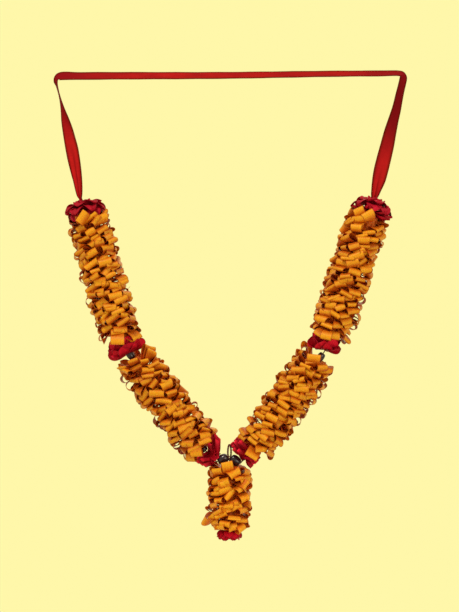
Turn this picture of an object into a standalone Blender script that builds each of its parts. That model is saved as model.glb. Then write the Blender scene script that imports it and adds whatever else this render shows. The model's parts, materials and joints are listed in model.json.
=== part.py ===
"""Hanging garland of curled wood shavings with crimson shaving flowers, black beads and a red ribbon.

Units are metres. X runs to the right, Y away from the viewer and Z up. The origin is midway between the two
pins that the ribbon hangs on, at the height of its top run.
"""

import math
import random

import bmesh
import bpy
from mathutils import Matrix, Vector

# The string's corners in the XZ plane, from each ribbon tie down to where the two strands meet.
LEFT_CORNERS = [
    (-0.1470, -0.1272), (-0.1452, -0.1303), (-0.1085, -0.2680), (-0.0286, -0.3709), (-0.0126, -0.3870),
]
RIGHT_CORNERS = [
    (0.1441, -0.1262), (0.1434, -0.1300), (0.0950, -0.2765), (0.0262, -0.3716), (0.0102, -0.3890),
]
MEETING = (0.0, -0.3808)
CORNER_RADII = (0.010, 0.010, 0.010, 0.0015)
MEETING_RADIUS = 0.0032
STRING_RADIUS = 0.0006
BORE_RADIUS = 0.0010

# Places along the string below its middle corner: the end of the upper bunch, the small bead, the middle
# flower, the large bead and the start of the lower bunch.
LEFT_PLACES = (-0.0074, -0.0042, 0.0070, 0.0152, 0.0200)
RIGHT_PLACES = (-0.0180, -0.0130, -0.0064, 0.0068, 0.0118)

# Places below the tie, below the first corner, below the fourth corner and above the meeting point.
TOP_FLOWER_AT = 0.0078
UPPER_BUNCH_AT = 0.0114
LOWER_BUNCH_END = 0.0008
LOWER_BEAD_AT = 0.0042
LOWER_FLOWER_AT = 0.0116
CENTRE_BEAD_ABOVE = 0.0075

# Shavings: strips curled into loops that stand out round the string.
SHAVING_REACH = 0.0228
SHAVING_WIDTH = 0.0150
SHAVING_WALL = 0.0007
LOOP_HEIGHT = 0.0128
ROW_PITCH = 0.0154
LOOPS_ROUND = 6
ROUND_PART = 0.0060
CORE_RADIUS = 0.0088
ROOT_DEPTH = 0.0020
ROOT_SHARE = 0.04
LEANING_SHARE = 0.3
END_MARGIN = LOOP_HEIGHT * 0.3

# Flowers: crimson shavings set round a small core.
PETAL_WALL = 0.0008
FLOWER_CORE_RADIUS = 0.0046
FLOWER_CORE_LENGTH = 0.0060

# How far each middle and lower flower hangs askew on the string, in degrees.
LEFT_ASKEW = (12, -4)
RIGHT_ASKEW = (0, 4)

# Beads, as (greatest radius, length).
BEAD = (0.0038, 0.0088)
SMALL_BEAD = (0.0032, 0.0052)

# Pendant, as distances below the point where it hangs.
PENDANT_START = 0.0094
PENDANT_LENGTH = 0.0640
EYE_RADIUS = 0.0025
EYE_HEIGHT = 0.0150
EYE_BELOW = 0.0034
EYE_TURN = 50
EYE_POINTS = 12
KNOT_RADIUS = 0.0017
KNOT_GAP = 0.0007
KNOT_POLE = 0.0003

# Windings of string round each ribbon end.
WINDING_INNER = 0.00222
WINDING_TURNS = 2
WINDING_PITCH = 0.0018
WINDING_RISE = 0.0033
SHOULDER_RISE = 0.0008
CREST_RISE = 0.0013

# The string's way out of its winding, as (distance from the strand's line, height above the tie).
WINDING_EXIT = [(0.0026, 0.0005), (0.0023, -0.0008), (0.0011, -0.0018)]

# Ribbon: 15 mm satin, gathered where it is tied in. Stations are (x, z, roll, width). A roll of 0 degrees
# lays it flat on the pins, and a greater one turns its outer face to the viewer.
FLAT_ON_PINS = 90
RIBBON_WIDTH = 0.0150
RIBBON_WALL = 0.0006
GATHERED_WALL = 0.0016
GATHERED_WIDTH = 0.0030
GATHERED_BELOW = -0.1220
LEFT_STRAP = [
    (-0.14685, -0.12746, 88, GATHERED_WIDTH),
    (-0.14894, -0.12385, 86, GATHERED_WIDTH),
    (-0.1499, -0.1208, 84, 0.0056),
    (-0.1506, -0.1160, 80, 0.0076),
    (-0.1518, -0.1065, 74, 0.0102),
    (-0.1537, -0.0960, 69, 0.0128),
    (-0.1558, -0.0850, 66, 0.0143),
    (-0.1578, -0.0740, 62, RIBBON_WIDTH),
    (-0.1600, -0.0640, 56, RIBBON_WIDTH),
    (-0.1620, -0.0550, 49, RIBBON_WIDTH),
    (-0.1645, -0.0450, 36, RIBBON_WIDTH),
    (-0.1668, -0.0350, 21, RIBBON_WIDTH),
    (-0.1688, -0.0260, 10, RIBBON_WIDTH),
    (-0.1709, -0.0170, 4, RIBBON_WIDTH),
    (-0.1727, -0.0090, 8, RIBBON_WIDTH),
    (-0.1733, -0.0055, 20, RIBBON_WIDTH),
    (-0.1723, -0.0028, 31, RIBBON_WIDTH),
    (-0.1700, -0.0015, 39, RIBBON_WIDTH),
    (-0.1480, -0.0013, 39, RIBBON_WIDTH),
]
TOP_MIDDLE = [
    (-0.0750, -0.0007, 37, RIBBON_WIDTH),
    (0.0, 0.0, 35, RIBBON_WIDTH),
    (0.0750, 0.0007, 33, RIBBON_WIDTH),
]
RIGHT_STRAP = [
    (0.1480, 0.0013, 31, RIBBON_WIDTH),
    (0.1700, 0.0015, 31, RIBBON_WIDTH),
    (0.1728, 0.0006, 28, RIBBON_WIDTH),
    (0.1739, -0.0020, 26, RIBBON_WIDTH),
    (0.1734, -0.0055, 25, RIBBON_WIDTH),
    (0.1717, -0.0130, 27, RIBBON_WIDTH),
    (0.1699, -0.0210, 31, RIBBON_WIDTH),
    (0.1673, -0.0335, 37, RIBBON_WIDTH),
    (0.1640, -0.0456, 48, RIBBON_WIDTH),
    (0.1608, -0.0577, 60, RIBBON_WIDTH),
    (0.1580, -0.0698, 71, RIBBON_WIDTH),
    (0.1549, -0.0820, 78, RIBBON_WIDTH),
    (0.1519, -0.0940, 82, RIBBON_WIDTH),
    (0.1494, -0.1050, 84, 0.0147),
    (0.1476, -0.1115, 85, 0.0128),
    (0.1463, -0.1165, 86, 0.0090),
    (0.1454, -0.1200, 87, 0.0056),
    (0.14480, -0.12240, 87, GATHERED_WIDTH),
    (0.14405, -0.12650, 88, GATHERED_WIDTH),
]

# Materials, as (name, colour, roughness, metallic).
WOOD = ("shaving_wood", (0.78, 0.36, 0.05), 0.5, 0.0)
CRIMSON = ("crimson_shaving", (0.52, 0.02, 0.06), 0.55, 0.0)
BLACK = ("black_bead", (0.02, 0.015, 0.02), 0.12, 0.0)
COTTON = ("cotton_string", (0.55, 0.30, 0.22), 0.9, 0.0)
SATIN = ("red_satin", (0.66, 0.03, 0.03), 0.35, 0.0)

# Petals seen edge-on, as (distance from the core, rise towards the open side, share of the full width).
CRUMPLED = [(0.0060, 0.0018, 0.85), (0.0115, 0.0020, 1.0), (0.0152, -0.0006, 0.55)]
SPOON = [(0.0060, 0.0010, 0.70), (0.0110, 0.0030, 1.0), (0.0150, 0.0064, 0.60)]
POINTED = [(0.0055, -0.0012, 0.90), (0.0105, -0.0012, 0.80), (0.0158, 0.0012, 0.16)]
CUP = [(0.0060, -0.0014, 0.80), (0.0115, -0.0008, 1.0), (0.0162, 0.0010, 0.66)]
NARROW = [(0.0060, 0.0012, 0.85), (0.0105, 0.0014, 1.0), (0.0132, 0.0, 0.70)]
SHORT = [(0.0030, -0.0004, 0.85), (0.0058, 0.0, 1.0), (0.0080, 0.0010, 0.60)]
PETAL_ROOT_SHARE = 0.12

BACK = Vector((0.0, 1.0, 0.0))
DOWN = Vector((0.0, 0.0, -1.0))


def clear_scene():
    for obj in list(bpy.data.objects):
        bpy.data.objects.remove(obj, do_unlink=True)


def collection_named(name):
    made = bpy.data.collections.new(name)
    bpy.context.scene.collection.children.link(made)
    return made


def material_from(recipe):
    """The material of a recipe, made once."""
    name, colour, roughness, metallic = recipe
    found = bpy.data.materials.get(name)
    if found:
        return found
    made = bpy.data.materials.new(name)
    made.use_nodes = True
    shader = made.node_tree.nodes["Principled BSDF"]
    shader.inputs["Base Color"].default_value = (*colour, 1.0)
    shader.inputs["Roughness"].default_value = roughness
    shader.inputs["Metallic"].default_value = metallic
    return made


def add_object(home, name, data, recipe, matrix=None):
    """A new object of the data, in the home collection and with the recipe's material."""
    obj = bpy.data.objects.new(name, data)
    home.objects.link(obj)
    data.materials.append(material_from(recipe))
    if matrix is not None:
        obj.matrix_world = matrix
    return obj


def evaluated_mesh(obj):
    """The object's mesh with its modifiers applied, as new mesh data."""
    bpy.context.view_layer.update()
    graph = bpy.context.evaluated_depsgraph_get()
    return bpy.data.meshes.new_from_object(obj.evaluated_get(graph))


def bake(obj):
    """The object's evaluated mesh with its loose seams welded and its faces turned outwards."""
    mesh = evaluated_mesh(obj)
    work = bmesh.new()
    work.from_mesh(mesh)
    bmesh.ops.remove_doubles(work, verts=work.verts, dist=1e-6)
    bmesh.ops.recalc_face_normals(work, faces=work.faces)
    work.to_mesh(mesh)
    work.free()
    return mesh


def bake_curve(curve):
    """The mesh of a curve, whose helper object is removed."""
    guide = bpy.data.objects.new("guide", curve)
    bpy.context.scene.collection.objects.link(guide)
    mesh = bake(guide)
    bpy.data.objects.remove(guide, do_unlink=True)
    return mesh


def merge_flat_faces(mesh):
    """Joins faces that lie in one plane, such as those that the union cuts up round each root."""
    work = bmesh.new()
    work.from_mesh(mesh)
    bmesh.ops.dissolve_limit(work, angle_limit=math.radians(0.05), verts=work.verts, edges=work.edges)
    work.to_mesh(mesh)
    work.free()


def shade_round(mesh):
    mesh.shade_smooth()
    mesh.set_sharp_from_angle(angle=math.radians(40))


def turned(home, name, profile, steps, recipe, matrix=None):
    """A solid of revolution about local Z. The (radius, height) profile is a closed ring."""
    mesh = bpy.data.meshes.new(name)
    points = [(radius, 0.0, height) for radius, height in profile]
    edges = [(i, (i + 1) % len(points)) for i in range(len(points))]
    mesh.from_pydata(points, edges, [])
    obj = add_object(home, name, mesh, recipe)
    screw = obj.modifiers.new("turn", "SCREW")
    screw.steps = steps
    screw.render_steps = steps
    screw.use_merge_vertices = True
    screw.merge_threshold = 1e-5
    obj.data = bake(obj)
    obj.modifiers.clear()
    shade_round(obj.data)
    if matrix is not None:
        obj.matrix_world = matrix
    return obj


def join_repeats(core, repeats):
    """Fuses the repeats into their core with one Boolean union, and removes them."""
    union = core.modifiers.new("join", "BOOLEAN")
    union.operation = "UNION"
    union.operand_type = "COLLECTION"
    union.collection = repeats
    union.solver = "MANIFOLD"
    core.data = evaluated_mesh(core)
    core.modifiers.clear()
    merge_flat_faces(core.data)
    for obj in list(repeats.objects):
        bpy.data.objects.remove(obj, do_unlink=True)
    bpy.data.collections.remove(repeats)


def rounded(before, corner, after, radius, steps=3):
    """Points of a short curve that rounds a corner of the string."""
    into = (before - corner).normalized()
    out = (after - corner).normalized()
    cut = radius * math.tan((math.pi - into.angle(out)) / 2)
    start = corner + into * cut
    end = corner + out * cut
    found = []
    for i in range(steps + 1):
        t = i / steps
        found.append(start * (1 - t) ** 2 + corner * (2 * t * (1 - t)) + end * t * t)
    return found


def frame_at(point, z):
    """A matrix at a point whose Z is the direction given and whose Y is back."""
    turn = Matrix((BACK.cross(z), BACK, z)).transposed().to_4x4()
    return Matrix.Translation(point) @ turn


class Strand:
    """One side of the string, from its ribbon tie down to the meeting point."""

    def __init__(self, corners):
        self.knots = [Vector((x, 0.0, z)) for x, z in corners]
        self.points = [self.knots[0]]
        for before, corner, after, radius in zip(self.knots, self.knots[1:], self.knots[2:], CORNER_RADII):
            self.points += rounded(before, corner, after, radius)
        self.points.append(self.knots[-1])
        self.length = sum((b - a).length for a, b in zip(self.points, self.points[1:]))

    def distance_of(self, knot):
        """The distance along the string of the path point nearest a corner."""
        total = 0.0
        nearest = (1.0, 0.0)
        for a, b in zip(self.points, self.points[1:]):
            nearest = min(nearest, ((a - self.knots[knot]).length, total))
            total += (b - a).length
        return nearest[1]

    def frame(self, distance, up=False):
        """A matrix at a distance from the tie whose Z runs down the string, or up it."""
        left = distance
        for a, b in zip(self.points, self.points[1:]):
            span = (b - a).length
            if left <= span:
                break
            left -= span
        down = (b - a).normalized()
        return frame_at(a + down * left, -down if up else down)


def strip_mesh(outlines, width, share_at):
    """A strip seen edge-on as outlines in X (outwards) and Y (along the string). Its width varies with X."""
    curve = bpy.data.curves.new("strip", "CURVE")
    curve.dimensions = "2D"
    curve.fill_mode = "BOTH"
    curve.extrude = width / 2
    for outline in outlines:
        spline = curve.splines.new("POLY")
        spline.points.add(len(outline) - 1)
        for point, (x, y) in zip(spline.points, outline):
            point.co = (x, y, 0.0, 1.0)
        spline.use_cyclic_u = True
    mesh = bake_curve(curve)
    for vertex in mesh.vertices:
        vertex.co.z *= share_at(vertex.co.x)
    return mesh


def loop_mesh(reach, height):
    """One shaving curled into a teardrop loop that narrows to its root."""
    half = height / 2
    centre = reach - ROUND_PART
    root = CORE_RADIUS - ROOT_DEPTH
    outer = [(root, -0.0009)]
    inner = [(CORE_RADIUS + 0.0022, 0.0)]
    for degrees in (-102, -38, 38, 102):
        angle = math.radians(degrees)
        outer.append((centre + ROUND_PART * math.cos(angle), half * math.sin(angle)))
        inner_round = ROUND_PART - SHAVING_WALL
        inner_half = half - SHAVING_WALL
        inner.append((centre + inner_round * math.cos(angle), inner_half * math.sin(angle)))
    outer.append((root, 0.0009))
    full_width_from = inner[1][0]

    def share_at(x):
        return min(1.0, ROOT_SHARE + (1 - ROOT_SHARE) * (x - root) / (full_width_from - root))

    return strip_mesh([outer, inner], SHAVING_WIDTH, share_at)


def petal_mesh(stations, width, size):
    """One curved petal of a size, rooted in a flower's core."""
    line = [(FLOWER_CORE_RADIUS - 0.0022, 0.0, PETAL_ROOT_SHARE)]
    for out, rise, share in stations:
        line.append((FLOWER_CORE_RADIUS + out * size, rise * size, share))
    lower = [(x, rise - PETAL_WALL / 2) for x, rise, share in line]
    upper = [(x, rise + PETAL_WALL / 2) for x, rise, share in line]

    def share_at(x):
        for (x0, _, share0), (x1, _, share1) in zip(line, line[1:]):
            if x < x1:
                return share0 + (share1 - share0) * (x - x0) / (x1 - x0)
        return line[-1][2]

    return strip_mesh([lower + upper[::-1]], width, share_at)


def round_core(angle, height, tilt, lean, pivot):
    """Stands a strip out from local Z, tilted about its own axis and leaning along Z from the pivot."""
    out = Vector((math.cos(angle), math.sin(angle), 0.0))
    along = Vector((0.0, 0.0, 1.0))
    turn = Matrix((out, along, out.cross(along))).transposed().to_4x4()
    hinge = Vector((pivot, 0.0, 0.0))
    leaning = Matrix.Translation(hinge) @ Matrix.Rotation(lean, 4, "Z") @ Matrix.Translation(-hinge)
    return Matrix.Translation(along * height) @ turn @ leaning @ Matrix.Rotation(tilt, 4, "X")


def shavings(home, name, matrix, length, end_leans, seed):
    """A bunch of shaving loops in staggered rows, fused to the packed roots round the string."""
    draw = random.Random(seed)
    repeats = collection_named(name + "_loops")
    rows = round((length - 2 * END_MARGIN) / ROW_PITCH) + 1
    pitch = (length - 2 * END_MARGIN) / (rows - 1)
    for row in range(rows):
        share = row / (rows - 1)
        near_start = max(0.0, 1 - share / LEANING_SHARE)
        near_end = max(0.0, 1 - (1 - share) / LEANING_SHARE)
        row_lean = near_end * end_leans[1] - near_start * end_leans[0]
        for k in range(LOOPS_ROUND):
            turn = 360 * (k + 0.25 + 0.5 * (row % 2)) / LOOPS_ROUND + draw.uniform(-2, 2)
            height = END_MARGIN + row * pitch + draw.uniform(-0.0004, 0.0004)
            mesh = loop_mesh(SHAVING_REACH * draw.uniform(0.93, 1.0), LOOP_HEIGHT * draw.uniform(0.9, 1.0))
            tilt = math.radians(draw.uniform(-8, 8))
            lean = math.radians(row_lean + draw.uniform(-4, 4))
            place = round_core(math.radians(turn), height, tilt, lean, CORE_RADIUS - 0.001)
            add_object(repeats, "loop", mesh, WOOD, place)
    profile = [(CORE_RADIUS, length), (CORE_RADIUS, 0.0), (BORE_RADIUS, 0.0), (BORE_RADIUS, length)]
    core = turned(home, name, profile, 2 * LOOPS_ROUND, WOOD)
    join_repeats(core, repeats)
    core.matrix_world = matrix
    return core


def flower(home, name, matrix, rows, seed, askew=0):
    """Petals round a core, opening towards its Z. A row is (count, stations, width, lean, height).

    A flower that sits askew has a wider bore, so that the string passes clear of it.
    """
    draw = random.Random(seed)
    repeats = collection_named(name + "_petals")
    for row, (count, stations, width, lean, height) in enumerate(rows):
        for k in range(count):
            turn = 360 * (k + 0.5 * row) / count + draw.uniform(-5, 5)
            mesh = petal_mesh(stations, width, draw.uniform(0.9, 1.0))
            tilt = math.radians(draw.uniform(-14, 14))
            petal_lean = math.radians(lean + draw.uniform(-5, 5))
            place = round_core(math.radians(turn), height, tilt, petal_lean, FLOWER_CORE_RADIUS - 0.001)
            add_object(repeats, "petal", mesh, CRIMSON, place)
    half = FLOWER_CORE_LENGTH / 2
    rim = FLOWER_CORE_RADIUS * 0.75
    profile = [(rim, half), (FLOWER_CORE_RADIUS, 0.0), (rim, -half)]
    tilt = math.radians(askew)
    bore = BORE_RADIUS + half * math.tan(abs(tilt))
    profile += [(bore, -half), (bore, half)]
    core = turned(home, name, profile, 10, CRIMSON)
    join_repeats(core, repeats)
    core.matrix_world = matrix @ Matrix.Rotation(tilt, 4, "Y")
    return core


def bead(home, name, matrix, size):
    """An oval bead with a bore along local Z."""
    radius, length = size
    half = length / 2
    end_angle = math.radians(66)
    profile = []
    for share in (1.0, 0.36, -0.36, -1.0):
        angle = end_angle * share
        profile.append((radius * math.cos(angle), half * math.sin(angle) / math.sin(end_angle)))
    profile += [(BORE_RADIUS, -half), (BORE_RADIUS, half)]
    return turned(home, name, profile, 8, BLACK, matrix)


def tube_mesh(points, cyclic=False):
    """String along the points, closed at both ends or joined into a ring."""
    curve = bpy.data.curves.new("cord", "CURVE")
    curve.dimensions = "3D"
    curve.bevel_depth = STRING_RADIUS
    curve.bevel_resolution = 2
    curve.use_fill_caps = not cyclic
    spline = curve.splines.new("POLY")
    spline.points.add(len(points) - 1)
    for point, place in zip(spline.points, points):
        point.co = (*place, 1.0)
    spline.use_cyclic_u = cyclic
    return bake_curve(curve)


def winding(home, name, matrix):
    """Turns of string laid side by side as a ring about local Z, downwards from its origin."""
    crest = WINDING_INNER + CREST_RISE
    shoulder = WINDING_INNER + SHOULDER_RISE
    profile = []
    for turn in range(WINDING_TURNS):
        middle = -(turn + 0.5) * WINDING_PITCH
        profile.append((shoulder, middle + WINDING_PITCH * 0.46))
        profile.append((crest, middle))
        profile.append((shoulder, middle - WINDING_PITCH * 0.46))
    profile.append((WINDING_INNER, -WINDING_TURNS * WINDING_PITCH))
    profile.append((WINDING_INNER, 0.0))
    return turned(home, name, profile, 8, COTTON, matrix)


def string(home, left, right):
    """The string, wound round both ribbon ends. Returns the point where the pendant hangs."""
    repeats = collection_named("windings")
    meeting = rounded(left.points[-2], left.points[-1], right.points[-2], MEETING_RADIUS, 6)
    ways = []
    for strand, side in ((left, -1), (right, 1)):
        top = strand.frame(0.0, up=True)
        winding(repeats, "winding", top @ Matrix.Translation((0.0, 0.0, WINDING_RISE)))
        start = [top @ Vector((side * out, 0.0, rise)) for out, rise in WINDING_EXIT]
        ways.append(start + strand.points[1:-1])
    path = ways[0] + meeting + ways[1][::-1]
    core = add_object(home, "string", tube_mesh(path), COTTON)
    join_repeats(core, repeats)
    shade_round(core.data)
    return meeting[len(meeting) // 2]


def pendant_string(home, low):
    """The pendant's string: a tall eye that stands round the main string, a straight drop and a stop knot."""
    repeats = collection_named("eye_and_knot")
    eye_centre = low + DOWN * (EYE_BELOW - EYE_HEIGHT / 2)
    sideways = Vector((math.cos(math.radians(EYE_TURN)), math.sin(math.radians(EYE_TURN)), 0.0))
    ring = []
    for k in range(EYE_POINTS):
        angle = 2 * math.pi * (k + 0.5) / EYE_POINTS
        ring.append(eye_centre + sideways * EYE_RADIUS * math.cos(angle) + DOWN * EYE_HEIGHT / 2 * math.sin(angle))
    add_object(repeats, "eye", tube_mesh(ring, cyclic=True), COTTON)
    knot_centre = low + DOWN * (PENDANT_START + PENDANT_LENGTH + FLOWER_CORE_LENGTH + KNOT_RADIUS + KNOT_GAP)
    profile = [(KNOT_POLE, KNOT_RADIUS)]
    for degrees in (55, 20, -20, -55):
        angle = math.radians(degrees)
        profile.append((KNOT_RADIUS * math.cos(angle), KNOT_RADIUS * math.sin(angle)))
    profile.append((KNOT_POLE, -KNOT_RADIUS))
    turned(repeats, "knot", profile, 8, COTTON, Matrix.Translation(knot_centre))
    drop = [low + DOWN * EYE_BELOW * 0.95, knot_centre]
    core = add_object(home, "pendant_string", tube_mesh(drop), COTTON)
    join_repeats(core, repeats)
    shade_round(core.data)


def ribbon(home):
    """The satin ribbon from the left tie over both pins to the right tie."""
    stations = LEFT_STRAP + TOP_MIDDLE + RIGHT_STRAP
    curve = bpy.data.curves.new("ribbon", "CURVE")
    curve.dimensions = "3D"
    curve.twist_mode = "MINIMUM"
    curve.extrude = RIBBON_WIDTH / 2
    spline = curve.splines.new("POLY")
    spline.points.add(len(stations) - 1)
    for point, (x, z, roll, width) in zip(spline.points, stations):
        point.co = (x, 0.0, z, 1.0)
        point.tilt = math.radians(FLAT_ON_PINS + roll)
        point.radius = width / RIBBON_WIDTH
    obj = add_object(home, "ribbon", bake_curve(curve), SATIN)
    gathered = obj.vertex_groups.new(name="gathered")
    for vertex in obj.data.vertices:
        gathered.add([vertex.index], 1.0 if vertex.co.z < GATHERED_BELOW else 0.0, "REPLACE")
    solid = obj.modifiers.new("thickness", "SOLIDIFY")
    solid.thickness = GATHERED_WALL
    solid.offset = 0.0
    solid.vertex_group = "gathered"
    solid.thickness_vertex_group = RIBBON_WALL / GATHERED_WALL
    obj.data = bake(obj)
    obj.modifiers.clear()
    shade_round(obj.data)


def side_pieces(home, side, strand, places, top_rows, cup_lean, askew, seed):
    """The shavings, flowers and beads of one side."""
    upper_end, small_bead, bloom, large_bead, lower_start = places
    first = strand.distance_of(1)
    middle = strand.distance_of(2)
    last = strand.distance_of(3)
    flower(home, side + "_top_flower", strand.frame(TOP_FLOWER_AT, up=True), top_rows, seed)
    start = first + UPPER_BUNCH_AT
    length = middle + upper_end - start
    shavings(home, side + "_upper_shavings", strand.frame(start), length, (4, 0), seed + 1)
    bead(home, side + "_upper_bead", strand.frame(middle + small_bead), SMALL_BEAD)
    middle_rows = [(6, CUP, 0.0125, cup_lean, 0.0004), (4, CUP, 0.0120, cup_lean - 14, -0.0012)]
    bloom_frame = strand.frame(middle + bloom, up=True)
    flower(home, side + "_middle_flower", bloom_frame, middle_rows, seed + 2, askew[0])
    bead(home, side + "_middle_bead", strand.frame(middle + large_bead), BEAD)
    start = middle + lower_start
    length = last + LOWER_BUNCH_END - start
    shavings(home, side + "_lower_shavings", strand.frame(start), length, (20, 6), seed + 3)
    bead(home, side + "_lower_bead", strand.frame(last + LOWER_BEAD_AT), SMALL_BEAD)
    lower_rows = [(5, NARROW, 0.0088, 16, 0.0006), (5, NARROW, 0.0088, 5, -0.0008)]
    flower(home, side + "_lower_flower", strand.frame(last + LOWER_FLOWER_AT), lower_rows, seed + 4, askew[1])
    bead(home, side + "_centre_bead", strand.frame(strand.length - CENTRE_BEAD_ABOVE), BEAD)


def main():
    clear_scene()
    garland = collection_named("wooden_garland")
    left = Strand(LEFT_CORNERS + [MEETING])
    right = Strand(RIGHT_CORNERS + [MEETING])
    low = string(garland, left, right)
    ribbon(garland)
    crumpled_rows = [(5, CRUMPLED, 0.0140, 26, 0.0010), (5, CRUMPLED, 0.0135, 0, -0.0012)]
    spoon_rows = [(5, SPOON, 0.0130, 18, 0.0010), (5, POINTED, 0.0130, 4, -0.0012)]
    side_pieces(garland, "left", left, LEFT_PLACES, crumpled_rows, 20, LEFT_ASKEW, 10)
    side_pieces(garland, "right", right, RIGHT_PLACES, spoon_rows, 20, RIGHT_ASKEW, 20)
    pendant_string(garland, low)
    top = low + DOWN * PENDANT_START
    shavings(garland, "pendant_shavings", frame_at(top, DOWN), PENDANT_LENGTH, (0, 18), 31)
    middle = top + DOWN * (PENDANT_LENGTH + FLOWER_CORE_LENGTH / 2 + 0.0004)
    flower(garland, "pendant_flower", frame_at(middle, DOWN), [(6, SHORT, 0.0076, 42, 0.0)], 32)


main()
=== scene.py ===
"""Looks of the hanging garland: curled wood shavings, crimson flowers, black beads, thread and a ribbon.

Units are metres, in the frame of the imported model. Grain coordinates on the strips are in millimetres.
"""

import json
import random
from math import cos, dist, pi, radians, sin, tan

import bpy
import numpy as np
from mathutils import Matrix, Vector

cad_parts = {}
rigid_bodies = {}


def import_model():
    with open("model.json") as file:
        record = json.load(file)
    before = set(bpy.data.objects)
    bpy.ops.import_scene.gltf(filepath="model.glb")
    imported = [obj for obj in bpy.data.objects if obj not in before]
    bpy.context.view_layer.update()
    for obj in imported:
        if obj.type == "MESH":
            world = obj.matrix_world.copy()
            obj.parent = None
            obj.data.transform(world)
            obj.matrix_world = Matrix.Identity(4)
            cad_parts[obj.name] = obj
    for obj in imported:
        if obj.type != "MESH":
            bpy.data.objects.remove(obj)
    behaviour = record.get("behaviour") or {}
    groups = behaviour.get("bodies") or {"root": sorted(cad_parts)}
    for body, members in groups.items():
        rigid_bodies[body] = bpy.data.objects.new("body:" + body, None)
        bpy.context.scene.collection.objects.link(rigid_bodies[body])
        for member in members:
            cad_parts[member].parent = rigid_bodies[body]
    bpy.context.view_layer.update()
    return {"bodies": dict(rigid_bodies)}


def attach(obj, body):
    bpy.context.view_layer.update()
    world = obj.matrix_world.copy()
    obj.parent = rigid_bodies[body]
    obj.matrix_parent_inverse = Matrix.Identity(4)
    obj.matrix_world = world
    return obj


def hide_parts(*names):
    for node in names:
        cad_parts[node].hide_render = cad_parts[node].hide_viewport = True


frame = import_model()
BODY = next(iter(frame["bodies"]))

# The string's corners in the XZ plane, from each ribbon tie down to where the two strands meet.
LEFT_CORNERS = [
    (-0.1470, -0.1272), (-0.1452, -0.1303), (-0.1085, -0.2680), (-0.0286, -0.3709), (-0.0126, -0.3870),
]
RIGHT_CORNERS = [
    (0.1441, -0.1262), (0.1434, -0.1300), (0.0950, -0.2765), (0.0262, -0.3716), (0.0102, -0.3890),
]
MEETING = (0.0, -0.3808)
CORNER_RADII = (0.010, 0.010, 0.010, 0.0015)
MEETING_RADIUS = 0.0032

# Places along the string below its middle corner: the end of the upper bunch, the small bead, the middle
# flower, the large bead and the start of the lower bunch.
LEFT_PLACES = (-0.0074, -0.0042, 0.0070, 0.0152, 0.0200)
RIGHT_PLACES = (-0.0180, -0.0130, -0.0064, 0.0068, 0.0118)

# Places below the tie, below the second corner, below the fourth corner and above the meeting point.
TOP_FLOWER_AT = 0.0078
UPPER_BUNCH_AT = 0.0114
LOWER_BUNCH_END = 0.0008
LOWER_BEAD_AT = 0.0042
LOWER_FLOWER_AT = 0.0116
CENTRE_BEAD_ABOVE = 0.0075

# Pendant, as distances below the point where it hangs, and its string's standing eye.
PENDANT_START = 0.0094
PENDANT_LENGTH = 0.0640
PENDANT_FLOWER_BELOW = 0.0034
STOP_KNOT_BELOW = 0.0084
EYE_RADIUS = 0.0025
EYE_HEIGHT = 0.0150
EYE_BELOW = 0.0034
EYE_TURN = 50

# Shaving loops.
LOOPS_A_TURN = 8.4
LOOP_STEP = 0.00062
LOOP_REACH = 0.0222
LOOP_ROOT = 0.0070
LOOP_WALL = 0.00042
CORE_RADIUS = 0.0082
# A loop's grid, the angle left open at its root, and the height of its teardrop where it isn't scaled.
LOOP_ROWS = 29
LOOP_COLUMNS = 4
LOOP_OPENING = 0.16
TEARDROP_HEIGHT = 1.42

# A bunch: bare string at each end, how far its end loops lean over, and how far its bare patch reaches.
BUNCH_MARGIN = 0.0026
END_ZONE = 0.017
BARE_REACH = 0.0095

# The folds of the bunch's core, and the splinters between its loops.
CORE_FOLDS = 10
CORE_FOLD_WIDTH = 0.0068
CORE_STEP = 0.0022
SLIVER_ROWS = 12
SLIVER_ROOT = 0.015
SLIVER_WIDTH = 0.0008
SLIVER_WALL = 0.0002
SLIVER_SPACING = 0.03

# Petals and flowers.
PETAL_WALL = 0.00045
PETAL_COLUMNS = 8
EYE_TABS = 14
LOOPED_ROWS = (-0.0050, -0.0018, 0.0014, 0.0044)
LOOPED_COUNT = 11

# Beads, as (radius, length), the bore they share, and the degrees up their side at which the bore cuts in.
SMALL_BEAD = (0.0034, 0.0056)
LARGE_BEAD = (0.0038, 0.0090)
CENTRE_BEAD = (0.0049, 0.0108)
BEAD_BORE = 0.0009
BEAD_MOUTH = 74
BEAD_ROWS = 24
BEAD_SIDES = 40

# Radii of the threads, sizes of the knots, and a ply's sides and the length of its turn.
STRING_RADIUS = 0.0006
WINDING_THREAD = 0.00048
KNOT_THREAD = 0.00042
TAIL_THREAD = 0.00040
EYE_THREAD = 0.00105
TIE_KNOT = 0.0011
STOP_KNOT = 0.0014
PLY_SIDES = 6
PLY_PITCH = 0.0032

# The winding that ties each ribbon end, and its knot and tail at the back, in the tie's own frame.
WINDING = dict(radius=0.0024, low=-0.0018, high=0.0014, turns=3.4)
TIE_KNOT_AT = (0.0008, 0.0034, -0.0002)
TIE_TAIL = ((0.0014, 0.0040, -0.0006), (0.0028, 0.0046, -0.0020), (0.0034, 0.0040, -0.0040))

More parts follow.
